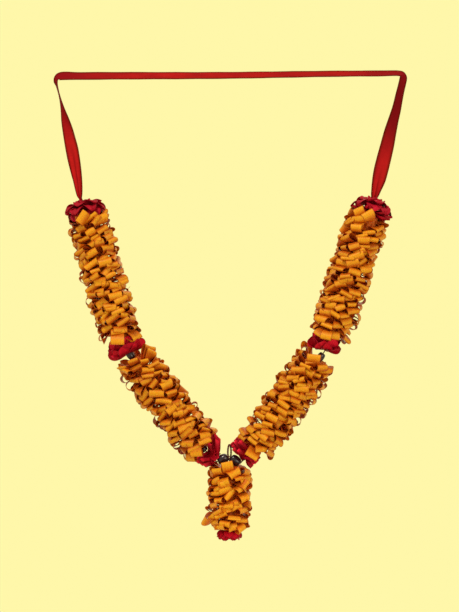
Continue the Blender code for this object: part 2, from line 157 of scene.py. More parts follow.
# Ribbon stations (x, z, roll), with the width as well where it is gathered. A roll of 0 degrees lays it
# flat on the pins, and a greater one turns its outer face to the viewer.
RIBBON_WIDTH = 0.0150
RIBBON_WALL = 0.00032
GATHERED_WIDTH = 0.0030
LEFT_STRAP = [
    (-0.14685, -0.12746, 88, GATHERED_WIDTH), (-0.14894, -0.12385, 86, GATHERED_WIDTH),
    (-0.1499, -0.1208, 84, 0.0056), (-0.1506, -0.1160, 80, 0.0076), (-0.1518, -0.1065, 74, 0.0102),
    (-0.1537, -0.0960, 69, 0.0128), (-0.1558, -0.0850, 66, 0.0143), (-0.1578, -0.0740, 62),
    (-0.1600, -0.0640, 56), (-0.1620, -0.0550, 49), (-0.1645, -0.0450, 36), (-0.1668, -0.0350, 21),
    (-0.1688, -0.0260, 13), (-0.1709, -0.0170, 10), (-0.1727, -0.0090, 14), (-0.1733, -0.0055, 24),
    (-0.1723, -0.0028, 31), (-0.1700, -0.0015, 39), (-0.1480, -0.0013, 39),
]
TOP_MIDDLE = [
    (-0.0750, -0.0007, 37), (0.0, 0.0, 35), (0.0750, 0.0007, 33),
]
RIGHT_STRAP = [
    (0.1480, 0.0013, 31), (0.1700, 0.0015, 31), (0.1728, 0.0006, 32), (0.1739, -0.0020, 34),
    (0.1734, -0.0055, 34), (0.1717, -0.0130, 34), (0.1699, -0.0210, 37), (0.1673, -0.0335, 42),
    (0.1640, -0.0456, 48), (0.1608, -0.0577, 60), (0.1580, -0.0698, 71), (0.1549, -0.0820, 78),
    (0.1519, -0.0940, 82), (0.1494, -0.1050, 84, 0.0138), (0.1476, -0.1115, 85, 0.0116),
    (0.1463, -0.1165, 86, 0.0096), (0.1454, -0.1200, 87, 0.0082), (0.14480, -0.12240, 87, 0.0066),
    (0.14405, -0.12650, 88, GATHERED_WIDTH),
]
# The ribbon's grid, and the folds of a gathered stretch with the most that they stand out.
RIBBON_STEPS = 7
RIBBON_COLUMNS = 28
FOLDS = 2.5
FOLD_DEPTH = 0.0010

# Stretches of the ribbon darkened by painted shade, as (middle, reach on each side, share), in millimetres
# from its left tie.
PAINTED_SHADE_STRETCHES = ((135, 75, 0.70), (505, 95, 0.90))

# Dye where it is pale, in the middle of its range, deep and on a strip's rims, and the painted shade inside
# the bunch. The pale dye also paints the highlight on each crest, and the deep dye the shade on each flank.
ORANGE_SHADES = (
    (0.94, 0.410, 0.012), (0.80, 0.210, 0.005), (0.54, 0.100, 0.003), (0.34, 0.054, 0.003),
    (0.74, 0.145, 0.010),
)
CRIMSON_SHADES = (
    (0.86, 0.013, 0.044), (0.74, 0.010, 0.034), (0.30, 0.004, 0.013), (0.30, 0.004, 0.013),
    (0.60, 0.009, 0.026),
)

# The camera's place, with its lens and its sensor's width in millimetres.
CAMERA_PLACE = (0.0, -1.445, -0.231)
LENS = 85
SENSOR = 36

# Lights, as (name, place, size, power, colour), all turned to the garland's middle, and the floor.
LIGHTS = (
    ("key", (-0.50, -0.90, 1.20), 0.50, 16.0, (1.0, 0.93, 0.82)),
    ("fill", (0.9, -1.25, -0.10), 0.9, 6.0, (1.0, 0.90, 0.74)),
    ("rear", (0.4, 1.5, 0.7), 1.0, 4.0, (1.0, 0.90, 0.70)),
)
GARLAND_MIDDLE = (0.0, 0.0, -0.25)
FLOOR_RADIUS = 2.5
FLOOR_HEIGHT = -1.15
FLOOR_SIDES = 96

BACK = Vector((0.0, 1.0, 0.0))
DOWN = Vector((0.0, 0.0, -1.0))
AXIS = np.array([0.0, 0.0, 1.0])
MM = 1000.0


def linked(name, data):
    """A new object in the scene."""
    obj = bpy.data.objects.new(name, data)
    bpy.context.scene.collection.objects.link(obj)
    return obj


# Camera, facing the garland square on.
def make_camera():
    data = bpy.data.cameras.new("camera")
    data.lens = LENS
    data.sensor_width = SENSOR
    data.clip_start = 0.05
    camera = linked("camera", data)
    camera.location = CAMERA_PLACE
    camera.rotation_euler = (radians(90), 0.0, 0.0)
    bpy.context.scene.camera = camera


# Materials.
class Tree:
    """A material's nodes, with short calls for the ones used here."""

    def __init__(self, name, roughness, **fixed):
        self.material = bpy.data.materials.new(name)
        self.material.use_nodes = True
        self.nodes = self.material.node_tree.nodes
        self.links = self.material.node_tree.links
        self.shader = self.nodes["Principled BSDF"]
        self.shader.inputs["Roughness"].default_value = roughness
        for socket, value in fixed.items():
            self.shader.inputs[socket.replace("_", " ")].default_value = value

    def node(self, kind, values=(), **settings):
        made = self.nodes.new(kind)
        for key, value in settings.items():
            setattr(made, key, value)
        for socket, value in dict(values).items():
            if isinstance(value, bpy.types.NodeSocket):
                self.links.new(value, made.inputs[socket])
            elif made.inputs[socket].type == "RGBA":
                made.inputs[socket].default_value = (*value, 1.0)
            else:
                made.inputs[socket].default_value = value
        return made

    def attribute(self, name, output="Fac"):
        return self.node("ShaderNodeAttribute", attribute_name=name).outputs[output]

    def scaled(self, vector, scale):
        return self.node("ShaderNodeVectorMath", {0: vector, 1: scale}, operation="MULTIPLY").outputs[0]

    def noise(self, vector, scale=1.0, detail=3.0, roughness=0.55):
        values = {"Vector": vector, "Scale": scale, "Detail": detail, "Roughness": roughness}
        return self.node("ShaderNodeTexNoise", values).outputs["Fac"]

    def wave(self, vector, scale):
        """Bands that follow each other along the vector's X."""
        values = {"Vector": vector, "Scale": scale}
        made = self.node("ShaderNodeTexWave", values, wave_type="BANDS", bands_direction="X")
        return made.outputs["Fac"]

    def ranged(self, value, low, high, to_low=0.0, to_high=1.0, smooth=False):
        values = {"Value": value, "From Min": low, "From Max": high, "To Min": to_low, "To Max": to_high}
        kind = "SMOOTHSTEP" if smooth else "LINEAR"
        return self.node("ShaderNodeMapRange", values, interpolation_type=kind, clamp=True).outputs["Result"]

    def maths(self, operation, a, b=0.0):
        return self.node("ShaderNodeMath", {0: a, 1: b}, operation=operation).outputs[0]

    def mix(self, share, a, b):
        return self.node("ShaderNodeMix", {0: share, 6: a, 7: b}, data_type="RGBA").outputs[2]

    def layer(self, colour, other, value, *limits, smooth=False):
        """A colour that gives way to another one where a value lies within limits, as ranged has them."""
        return self.mix(self.ranged(value, *limits, smooth=smooth), colour, other)

    def bump(self, height, distance, strength):
        values = {"Height": height, "Distance": distance, "Strength": strength}
        return self.node("ShaderNodeBump", values).outputs["Normal"]

    def set(self, socket, value):
        self.links.new(value, self.shader.inputs[socket])


def shaving_material(name, pale, middle, deep, rim, painted_root_shade, roughness, **fixed):
    """A dyed wood shaving: grain along the strip, a shade of its own and darker rims, with a painted
    highlight on each crest and painted shade on the flanks and at the roots.
    """
    tree = Tree(name, roughness, **fixed)
    grain = tree.attribute("grain", "Vector")
    shade = tree.attribute("shade")
    edge = tree.attribute("rim")
    depth = tree.attribute("depth")
    streaks = tree.noise(tree.scaled(grain, (1.5, 0.06, 7.1)), detail=4.0, roughness=0.62)
    fibres = tree.noise(tree.scaled(grain, (6.0, 0.22, 3.7)), detail=2.0)
    patches = tree.noise(tree.scaled(grain, (0.13, 0.10, 5.3)), detail=2.0)
    colour = tree.mix(tree.ranged(streaks, 0.40, 0.72), middle, pale)
    tone = tree.maths("ADD", shade, tree.ranged(patches, 0.3, 0.7, -0.25, 0.25))
    colour = tree.layer(colour, deep, tone, 0.20, 1.08, smooth=True)
    colour = tree.layer(colour, deep, fibres, 0.60, 0.78, 0.0, 0.45)
    # Painted highlight: the pale dye brightens the crest of each loop.
    colour = tree.layer(colour, pale, depth, 0.93, 1.0, 0.0, 0.60, smooth=True)
    # Painted shade: the deep dye darkens the flanks of each loop on either side of its crest.
    colour = tree.layer(colour, deep, depth, 0.78, 0.99, 0.72, 0.0, smooth=True)
    worn = tree.maths("ADD", edge, tree.ranged(streaks, 0.3, 0.7, -0.16, 0.16))
    colour = tree.layer(colour, rim, worn, 0.02, 0.75, 0.85, 0.0, smooth=True)
    # Painted shade: the roots inside the bunch and at the base of each petal take a colour of their own.
    colour = tree.layer(colour, painted_root_shade, depth, 0.30, 0.80, 0.92, 0.0, smooth=True)
    tree.set("Base Color", colour)
    tree.set("Roughness", tree.ranged(streaks, 0.3, 0.7, roughness - 0.07, roughness + 0.10))
    relief = tree.maths("ADD", tree.maths("MULTIPLY", streaks, 0.7), tree.maths("MULTIPLY", fibres, 0.3))
    tree.set("Normal", tree.bump(relief, 0.00022, 0.6))
    return tree.material


def orange_material(name, gain):
    """Orange-dyed shavings, with every shade multiplied by the gain: a greater gain gives a copy with painted
    light.
    """
    shades = [tuple(min(1.0, value * gain) for value in shade) for shade in ORANGE_SHADES]
    return shaving_material(
        name, *shades, 0.42, Specular_IOR_Level=0.34, Specular_Tint=(1.0, 0.78, 0.42, 1.0),
        Subsurface_Weight=0.25, Subsurface_Scale=0.001, Subsurface_Radius=(2.4, 0.9, 0.2),
    )


def crimson_material():
    return shaving_material(
        "crimson_dyed", *CRIMSON_SHADES, 0.50, Specular_IOR_Level=0.24, Specular_Tint=(1.0, 0.40, 0.40, 1.0),
    )


def satin_material():
    """Woven satin: fine threads along it, slubs and a pressed selvedge, with painted sheen and painted shade
    in its red.
    """
    tree = Tree("satin_weave", 0.42, IOR=1.02, Specular_IOR_Level=0.5, Specular_Tint=(1.0, 0.45, 0.36, 1.0))
    grain = tree.attribute("grain", "Vector")
    edge = tree.attribute("rim")
    warp = tree.wave(tree.scaled(grain, (1.0, 0.0, 0.0)), 0.80)
    slubs = tree.noise(tree.scaled(grain, (0.10, 1.6, 1.0)), detail=3.0, roughness=0.6)
    clouds = tree.noise(tree.scaled(grain, (0.09, 0.035, 1.0)), detail=2.0)
    colour = tree.mix(tree.ranged(slubs, 0.35, 0.65), (0.49, 0.013, 0.012), (0.59, 0.017, 0.015))
    colour = tree.layer(colour, (0.28, 0.007, 0.010), clouds, 0.35, 0.65, 0.0, 0.50)
    # Painted sheen: the red darkens where the ribbon turns edge on, so it is brightest face on.
    facing = tree.node("ShaderNodeLayerWeight", {"Blend": 0.35}).outputs["Facing"]
    colour = tree.layer(colour, (0.13, 0.005, 0.005), facing, 0.1, 0.9, 0.0, 0.7)
    # Painted shade: the stretches near each pin lie in a duller light than the rest.
    along = tree.node("ShaderNodeSeparateXYZ", {0: grain}).outputs["Y"]
    for middle, reach, share in PAINTED_SHADE_STRETCHES:
        near = tree.maths("ABSOLUTE", tree.maths("SUBTRACT", along, middle))
        painted_shade = tree.ranged(near, 0.0, reach, share, 0.0, smooth=True)
        colour = tree.mix(painted_shade, colour, (0.19, 0.005, 0.009))
    selvedge = tree.ranged(edge, 0.35, 0.75, 1.0, 0.0, smooth=True)
    # The red darkens over almost 4 mm in from each edge. Near the edge this is a darker selvedge; beyond it,
    # it is painted shade that leaves a painted highlight band down the middle.
    colour = tree.layer(colour, (0.11, 0.010, 0.003), edge, 0.2, 3.8, 0.90, 0.0, smooth=True)
    tree.set("Base Color", colour)
    tree.set("Roughness", tree.ranged(slubs, 0.3, 0.7, 0.36, 0.50))
    relief = tree.maths("ADD", tree.maths("MULTIPLY", warp, 0.25), tree.maths("MULTIPLY", slubs, 0.6))
    relief = tree.maths("ADD", relief, tree.maths("MULTIPLY", selvedge, 1.5))
    tree.set("Normal", tree.bump(relief, 0.00010, 0.55))
    return tree.material


def thread_material():
    """Cotton thread: dull fibres that run with the twist."""
    tree = Tree("cotton_ply", 0.85, Sheen_Weight=0.08, Sheen_Roughness=0.5)
    grain = tree.attribute("grain", "Vector")
    fibres = tree.noise(tree.scaled(grain, (5.0, 1.3, 1.0)), detail=3.0)
    blotches = tree.noise(tree.scaled(grain, (0.2, 0.25, 1.0)), detail=2.0)
    colour = tree.mix(tree.ranged(fibres, 0.3, 0.7), (0.085, 0.020, 0.010), (0.19, 0.055, 0.026))
    colour = tree.layer(colour, (0.15, 0.022, 0.012), blotches, 0.35, 0.65, 0.0, 0.5)
    tree.set("Base Color", colour)
    tree.set("Normal", tree.bump(fibres, 0.00012, 0.8))
    return tree.material


def bead_material():
    """Black glass-like bead: high gloss with faint smears and fine pits."""
    tree = Tree("gloss_bead", 0.20, Coat_Weight=0.25, Coat_Roughness=0.10)
    place = tree.node("ShaderNodeTexCoord").outputs["Object"]
    smears = tree.noise(place, 260.0, 3.0, 0.6)
    pits = tree.noise(place, 1500.0, 2.0)
    tint = tree.mix(tree.ranged(smears, 0.35, 0.7), (0.010, 0.006, 0.008), (0.040, 0.014, 0.018))
    tree.set("Base Color", tint)
    tree.set("Roughness", tree.ranged(smears, 0.35, 0.7, 0.16, 0.32))
    tree.set("Normal", tree.bump(tree.maths("ADD", smears, tree.maths("MULTIPLY", pits, 0.25)), 0.00025, 0.5))
    return tree.material


# Strips.
def unit(rows):
    return rows / np.maximum(np.linalg.norm(rows, axis=-1, keepdims=True), 1e-12)


def distances(line):
    """How far along a line each of its points lies."""
    steps = np.linalg.norm(np.diff(line, axis=0), axis=1)
    return np.concatenate([[0.0], np.cumsum(steps)])


def spokes(turn):
    """The direction out from local Z at a turn round it, and the direction round it there."""
    cos_turn, sin_turn = cos(turn), sin(turn)
    return np.array([cos_turn, sin_turn, 0.0]), np.array([-sin_turn, cos_turn, 0.0])


def carried(place, points):
    """Points moved from a local frame to the garland's."""
    matrix = np.array(place)
    return points @ matrix[:3, :3].T + matrix[:3, 3]


def turned(place, directions):
    """Directions turned from a local frame to the garland's."""
    return directions @ np.array(place)[:3, :3].T


class Strips:
    """Thin closed strips drawn in a local frame and gathered into one mesh, with what its material reads."""

    def __init__(self, place=Matrix.Identity(4)):
        self.place = place
        self.points, self.faces, self.grain = [], [], []
        self.rim, self.shade, self.depth, self.caps = [], [], [], []
        self.total = self.number = 0

    def add(self, line, side, width, wall, shade, columns, lift=None, depth=None):
        """A strip along line whose rows spread width along side.

        Lift moves each grid point off the face. Depth says how far out each row is, from 0 at the root to 1,
        and the shaving materials paint highlight and shade from it.
        """
        line, side = carried(self.place, line), turned(self.place, side)
        rows = len(line)
        across = np.linspace(-1.0, 1.0, columns + 1)
        normal = unit(np.cross(np.gradient(line, axis=0), side))
        surface = line[:, None, :] + side[:, None, :] * (width[:, None] / 2 * across)[..., None]
        if lift is not None:
            surface = surface + normal[:, None, :] * lift[..., None]
        facing = unit(np.cross(np.gradient(surface, axis=0), np.gradient(surface, axis=1)))
        half = wall / 2
        both = np.stack([surface + facing * half, surface - facing * half])
        self.points.append(both.reshape(-1, 3))
        count = rows * (columns + 1)
        index = np.arange(count).reshape(rows, columns + 1) + self.total
        under = index + count
        self.faces += [
            np.stack([index[:-1, :-1], index[1:, :-1], index[1:, 1:], index[:-1, 1:]], -1).reshape(-1, 4),
            np.stack([under[:-1, :-1], under[:-1, 1:], under[1:, 1:], under[1:, :-1]], -1).reshape(-1, 4),
            np.stack([index[:-1, 0], under[:-1, 0], under[1:, 0], index[1:, 0]], -1),
            np.stack([index[:-1, -1], index[1:, -1], under[1:, -1], under[:-1, -1]], -1),
            np.stack([index[0, :-1], index[0, 1:], under[0, 1:], under[0, :-1]], -1),
            np.stack([index[-1, :-1], under[-1, :-1], under[-1, 1:], index[-1, 1:]], -1),
        ]
        grain = np.zeros((rows, columns + 1, 3))
        grain[..., 0] = width[:, None] / 2 * across * MM
        grain[..., 1] = (distances(line) * MM)[:, None]
        grain[..., 2] = self.number
        rim = (1.0 - np.abs(across)) * width[:, None] / 2 * MM
        self.grain += [grain.reshape(-1, 3)] * 2
        self.rim += [rim.reshape(-1)] * 2
        self.shade.append(np.full(2 * count, shade))
        depth = np.ones(rows) if depth is None else depth
        self.depth += [np.repeat(depth, columns + 1)] * 2
        self.total += 2 * count
        self.number += 1

    def mesh(self, name, sharp=50):
        made = bpy.data.meshes.new(name)
        faces = np.concatenate(self.faces).tolist() + self.caps
        made.from_pydata(np.concatenate(self.points).tolist(), [], faces)
        store(made, "grain", self.grain, "FLOAT_VECTOR", "vector")
        for layer, values in (("rim", self.rim), ("shade", self.shade), ("depth", self.depth)):
            if values:
                store(made, layer, values)
        made.shade_smooth()
        made.set_sharp_from_angle(angle=radians(sharp))
        return made


def store(mesh, name, values, kind="FLOAT", field="value"):
    layer = mesh.attributes.new(name, kind, "POINT")
    layer.data.foreach_set(field, np.concatenate(values).astype(np.float32).ravel())


def place_piece(name, mesh, material, slot, *nodes):
    """A new piece of the garland that stands for CAD nodes."""
    obj = linked(name, mesh)
    mesh.materials.append(material)
    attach(obj, BODY)
    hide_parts(*nodes)
    return obj


# The string's path.
def rounded(before, corner, after, radius, steps=6):
    """Points of a short curve that rounds a corner of the string."""
    into = (before - corner).normalized()
    out = (after - corner).normalized()
    cut = radius * tan((pi - into.angle(out)) / 2)
    start = corner + into * cut
    end = corner + out * cut
    found = []
    for i in range(steps + 1):
        t = i / steps
        found.append(start * (1 - t) ** 2 + corner * (2 * t * (1 - t)) + end * t * t)
    return found


def frame_at(point, z):
    """A matrix at a point whose Z is the direction given and whose Y is back."""
    turn = Matrix((BACK.cross(z), BACK, z)).transposed().to_4x4()
    return Matrix.Translation(point) @ turn


class Strand:
    """One side of the string, from its ribbon tie down to the meeting point."""

    def __init__(self, corners):
        self.knots = [Vector((x, 0.0, z)) for x, z in corners]
        self.points = [self.knots[0]]
        for before, corner, after, radius in zip(self.knots, self.knots[1:], self.knots[2:], CORNER_RADII):
            self.points += rounded(before, corner, after, radius)
        self.points.append(self.knots[-1])
        self.length = sum((b - a).length for a, b in zip(self.points, self.points[1:]))

    def distance_of(self, knot):
        """The distance along the string of the path point nearest a corner."""
        total = 0.0
        found = []
        for a, b in zip(self.points, self.points[1:]):
            found.append(((a - self.knots[knot]).length, total))
            total += (b - a).length
        return min(found)[1]

    def frame(self, distance, up=False):
        """A matrix at a distance from the tie whose Z runs down the string, or up it."""
        left = distance
        for a, b in zip(self.points, self.points[1:]):
            span = (b - a).length
            if left <= span:
                break
            left -= span
        down = (b - a).normalized()
        return frame_at(a + down * left, -down if up else down)


def smooth_line(stations, steps):
    """Rows of values read from a smooth curve through the stations, with even steps between each two."""
    rows = np.array(stations, float)
    ends = np.vstack([2 * rows[0] - rows[1], rows, 2 * rows[-1] - rows[-2]])
    found = []
    for i in range(len(rows) - 1):
        p0, p1, p2, p3 = ends[i : i + 4]
        # Knots spaced by the root of each chord keep the curve from swinging wide at uneven stations.
        pairs = ((p0, p1), (p1, p2), (p2, p3))
        first, second, third = [max(np.linalg.norm(b[:2] - a[:2]), 1e-9) ** 0.5 for a, b in pairs]
        into = ((p1 - p0) / first - (p2 - p0) / (first + second) + (p2 - p1) / second) * second
        out = ((p2 - p1) / second - (p3 - p1) / (second + third) + (p3 - p2) / third) * second
        for t in np.arange(steps) / steps:
            h = (2 * t**3 - 3 * t**2 + 1, t**3 - 2 * t**2 + t, -2 * t**3 + 3 * t**2, t**3 - t**2)
            found.append(h[0] * p1 + h[1] * into + h[2] * p2 + h[3] * out)
    found.append(rows[-1])
    return np.array(found)


# Bunches of shaving loops.
def smoothstep(low, high, value):
    t = np.clip((value - low) / (high - low), 0.0, 1.0)
    return t * t * (3 - 2 * t)


def loop(
    strips, at, turn, reach, height, width, lean, tilt, shade, skew=0.0, swing=0.0, dent=0.0, curl=0.0,
    taper=0.0, neck=0.5, root=LOOP_ROOT,
):
    """One shaving bent into a teardrop loop, rooted at the string and standing out at an angle round it.

    Lean slopes it along the string and tilt turns its strip to run that way. Skew twists it, swing bends it
    sideways, dent pushes its crest in, curl bows it across and taper makes one end narrower. Neck is the
    share of its width at the root.
    """
    s = np.linspace(0.0, 1.0, LOOP_ROWS)
    t = LOOP_OPENING + (2 * pi - 2 * LOOP_OPENING) * (s + 0.055 * np.sin(2 * pi * s))
    length = reach - root
    out = root + length * (1 - np.cos(t)) / 2
    along = height / TEARDROP_HEIGHT * np.sin(t) * np.abs(np.sin(t / 2)) ** 1.6
    share = (out - root) / length
    out = out - dent * np.exp(-(((t - pi) / 0.55) ** 2))
    twist = tilt * smoothstep(0.0, 0.9, share)
    radial, round_it = spokes(turn)
    cos_twist, sin_twist = np.cos(twist)[:, None], np.sin(twist)[:, None]
    side = round_it * cos_twist + AXIS * sin_twist
    over = AXIS * cos_twist - round_it * sin_twist
    line = radial * out[:, None] + over * along[:, None]
    line = line + AXIS * (at + lean * length * share**1.4)[:, None]
    line = line + round_it * (swing * share**1.5)[:, None]
    side = unit(side + radial * (skew * share)[:, None])
    spread = width * (neck + (1 - neck) * smoothstep(0.0, 0.55, share)) * (1 + taper * np.cos(pi * s))
    across = np.linspace(-1.0, 1.0, LOOP_COLUMNS + 1)
    lift = curl * across**2 * smoothstep(0.2, 0.8, share)[:, None]
    strips.add(line, side, spread, LOOP_WALL, shade, LOOP_COLUMNS, lift, share)


# Single loops that fold over a flower or end a row, as the first settings of a loop, at to skew.
LEFT_UPPER_LOOPS = (
    (0.0060, -1.40, 0.0226, 0.0088, 0.0135, -0.36, 0.72, 0.1, 0.1),
    (0.0105, -2.30, 0.0224, 0.0086, 0.0140, -0.30, 0.10, 0.0, -0.2),
    (0.1218, -1.50, 0.0214, 0.0088, 0.0138, 0.52, -0.28, 0.1),
)
LEFT_LOWER_LOOPS = (
    (0.1062, -0.70, 0.0206, 0.0080, 0.0124, 0.62, -0.40, 0.3),
    (0.1062, -1.20, 0.0208, 0.0080, 0.0128, 0.50, -0.50, 0.1),
    (0.1066, 1.50, 0.0200, 0.0090, 0.0150, 0.66, -0.30, 0.9),
)
RIGHT_UPPER_LOOPS = (
    (0.0058, -1.42, 0.0224, 0.0088, 0.0126, -0.34, 0.85, 0.0, 0.1),
    (0.0050, -0.90, 0.0218, 0.0080, 0.0110, -0.42, 0.70, 0.2, 0.2),
    (0.1238, -1.34, 0.0212, 0.0080, 0.0110, 0.34, 0.10, 0.2),
)
RIGHT_LOWER_LOOPS = (
    (0.0042, -1.24, 0.0218, 0.0076, 0.0140, -0.38, 0.50, 0.1),
    (0.1056, -1.60, 0.0212, 0.0054, 0.0136, 0.66, 0.06, 0.1),
    (0.1066, 1.50, 0.0200, 0.0090, 0.0150, 0.50, 0.20, 0.9),
)
PENDANT_LOOPS = (
    (0.0060, -1.46, 0.0204, 0.0092, 0.0116, -0.72, 0.22, 0.1),
    (0.0500, -0.10, 0.0262, 0.0086, 0.0120, 0.20, 0.80, 0.4, 0.3),
)


def open_ring(strips, at, turn, lean, draw):
    """A narrower loop that stands clear at a bunch's side as an open ring."""
    loop(
        strips, at, turn, LOOP_REACH * draw.uniform(0.99, 1.06),
        height=draw.uniform(0.0066, 0.0088), width=draw.uniform(0.0070, 0.0100), lean=tan(radians(lean)),
        tilt=radians(draw.choice((-1, 1)) * draw.uniform(7, 14)),
        swing=draw.uniform(-0.0030, 0.0030), shade=draw.random(),
    )


def root_core(strips, start, end, seed):
    """The folded roots of the shavings, packed round the string."""
    draw = random.Random(seed)
    z = np.linspace(start, end, max(4, int((end - start) / CORE_STEP)))
    for k in range(CORE_FOLDS):
        radial, round_it = spokes(2 * pi * k / CORE_FOLDS)
        radius = CORE_RADIUS * np.array([draw.uniform(0.86, 1.06) for _ in z])
        line = radial * radius[:, None] + AXIS * z[:, None]
        side = np.tile(round_it, (len(z), 1))
        width = np.full(len(z), CORE_FOLD_WIDTH)
        # Painted shade: the core takes the roots' painted colour all along, with nearly the deepest tone.
        strips.add(line, side, width, LOOP_WALL, 0.95, 1, depth=np.zeros(len(z)))


def sliver(strips, at, turn, length, curl, shade):
    """A stray splinter of shaving that pokes out between the loops."""
    t = np.linspace(0.0, 1.0, SLIVER_ROWS)
    radial, round_it = spokes(turn)
    out = SLIVER_ROOT + length * t
    line = radial * out[:, None] + AXIS * (at + curl * length * np.sin(2.4 * t))[:, None]
    line = line + round_it * (curl * length * 0.7 * t * t)[:, None]
    side = np.tile(round_it * 0.6 + AXIS * 0.8, (SLIVER_ROWS, 1))
    width = SLIVER_WIDTH * (1.0 - 0.85 * t)
    strips.add(line, side, width, SLIVER_WALL, shade, 1)


def bunch(
    name, node, place, length, end_leans, tilts, ringed, seed, material, own_loops,
    bare=None, narrow=0.05, fade=0.70,
):
    """Loops wound round the string in a close spiral, each a little different from the next.

    Ringed is the share of the loops at the side that stand clear as open rings: those on local +X, or where
    it is below zero those on local -X. Bare is the direction in which the first loops are left out, and
    narrow is how much shorter the end loops are. A greater fade makes more of the loops pale.
    """
    draw = random.Random(seed)
    strips = Strips(place)
    span = length - 2 * BUNCH_MARGIN
    count = round(span / LOOP_STEP)
    ring_side = (ringed > 0) - (ringed < 0)
    for k in range(count):
        share = (k + 0.5) / count
        at = BUNCH_MARGIN + span * share + draw.uniform(-0.0016, 0.0016)
        turn = 2 * pi * k / LOOPS_A_TURN + radians(draw.uniform(-13, 13))
        if bare is not None and at < BARE_REACH and cos(turn - bare) > 0.55:
            continue
        near_start = max(0.0, 1 - at / END_ZONE)
        near_end = max(0.0, 1 - (length - at) / END_ZONE)
        lean = near_end * end_leans[1] - near_start * end_leans[0] + draw.gauss(0, 7)
        tilt = tilts[0] + (tilts[1] - tilts[0]) * share + draw.gauss(0, 15)
        reach = LOOP_REACH * draw.uniform(0.85, 1.03) * (1 - 0.05 * near_start) * (1 - narrow * near_end)
        sideways = ring_side * cos(turn)
        if sideways > 0.90 and draw.random() < abs(ringed):
            open_ring(strips, at, turn, lean, draw)
            continue
        if sideways > 0.12:
            reach *= draw.uniform(0.90, 0.96)
        dent = draw.uniform(0.0010, 0.0030) if draw.random() < 0.14 else 0.0
        loop(
            strips, at, turn, reach, height=draw.uniform(0.0040, 0.0080), width=draw.uniform(0.0100, 0.0152),
            lean=tan(radians(lean)), tilt=radians(max(-52, min(52, tilt))),
            skew=draw.uniform(-0.36, 0.36), swing=draw.uniform(-0.0028, 0.0028), dent=dent,
            shade=draw.random() ** fade, curl=draw.uniform(-0.0008, 0.0008), taper=draw.uniform(-0.22, 0.22),
        )
    for settings in own_loops:
        loop(strips, *settings)
    for _ in range(max(2, round(length / SLIVER_SPACING))):
        at = draw.uniform(0.1, 0.9) * length
        turn = draw.uniform(0, 2 * pi)
        size = draw.uniform(0.006, 0.009)
        sliver(strips, at, turn, size, draw.uniform(-0.6, 0.6), draw.uniform(0.3, 1.0))
    root_core(strips, 0.0004, length - 0.0004, seed + 500)
    place_piece(name, strips.mesh(name), material, "shaving_wood", node)


# Flowers.
def petal(
    strips, turn, stations, width, shade, height, lean, roll, cup=0.0, ruffle=0.0, waves=2.0, phase=0.0,
    root=0.0028, pivot=0.0040, sway=0.0,
):
    """A curved petal. Stations are (distance out, rise, share of the width)."""
    table = smooth_line(stations, 4)
    out, rise, share = table[:, 0], table[:, 1], np.clip(table[:, 2], 0.02, None)
    cos_lean, sin_lean = cos(lean), sin(lean)
    far = out - pivot + root
    leaned_out = pivot + far * cos_lean - rise * sin_lean
    leaned_rise = far * sin_lean + rise * cos_lean
    radial, round_it = spokes(turn)
    line = radial * leaned_out[:, None] + AXIS * (height + leaned_rise)[:, None]
    t = np.linspace(0.0, 1.0, len(table))
    line = line + round_it * (sway * t * t)[:, None]
    flow = unit(np.gradient(line, axis=0))
    up = unit(np.cross(flow, round_it))
    side = unit(round_it * cos(roll) + up * sin(roll))
    across = np.linspace(-1.0, 1.0, PETAL_COLUMNS + 1)
    lift = cup * across**2 * smoothstep(0.0, 0.5, t)[:, None]
    lift = lift + ruffle * t[:, None] * np.sin(waves * pi * across + phase)
    # Depth starts at 0.5, so the material paints shade at a petal's root.
    depth = np.minimum(0.5 + 1.2 * t, 0.95)
    strips.add(line, side, width * share, PETAL_WALL, shade, PETAL_COLUMNS, lift, depth)


def eye_of_flower(strips, seed, size=1.0):
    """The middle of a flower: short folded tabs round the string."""
    draw = random.Random(seed)
    outline = (
        (0.0006, -0.0016 * size, 0.8), (0.0022 * size, 0.0002, 1.0), (0.0042 * size, 0.0014 * size, 0.9),
    )
    for k in range(EYE_TABS):
        petal(
            strips, 2.4 * k, outline, 0.0050 * size, draw.uniform(0.5, 1.0),
            height=draw.uniform(-0.0018, 0.0012) * size, lean=radians(draw.uniform(-25, 35)),
            roll=radians(draw.uniform(-30, 30)), root=0.0, pivot=0.0,
        )


# Outlines of petals, as (distance out, rise, share of the width).
RUFFLED = (
    (0.0, 0.0, 0.35), (0.0050, 0.0020, 0.80), (0.0100, 0.0030, 1.0), (0.0142, 0.0010, 0.92),
    (0.0162, -0.0022, 0.50), (0.0166, -0.0036, 0.12),
)
POINTED = (
    (0.0, 0.0, 0.40), (0.0050, -0.0010, 0.90), (0.0100, -0.0014, 0.92), (0.0140, -0.0004, 0.55),
    (0.0172, 0.0014, 0.05),
)
CUP = (
    (0.0, 0.0, 0.36), (0.0050, -0.0014, 0.82), (0.0105, -0.0014, 1.0), (0.0145, 0.0002, 0.92),
    (0.0168, 0.0016, 0.55), (0.0176, 0.0022, 0.16),
)
CUP_POINT = (
    (0.0, 0.0, 0.36), (0.0050, -0.0014, 0.86), (0.0105, -0.0012, 1.0), (0.0150, 0.0006, 0.62),
    (0.0182, 0.0022, 0.08),
)
SHORT = (
    (0.0, 0.0, 0.40), (0.0030, -0.0008, 0.85), (0.0062, -0.0004, 1.0), (0.0086, 0.0008, 0.80),
    (0.0098, 0.0018, 0.20),
)

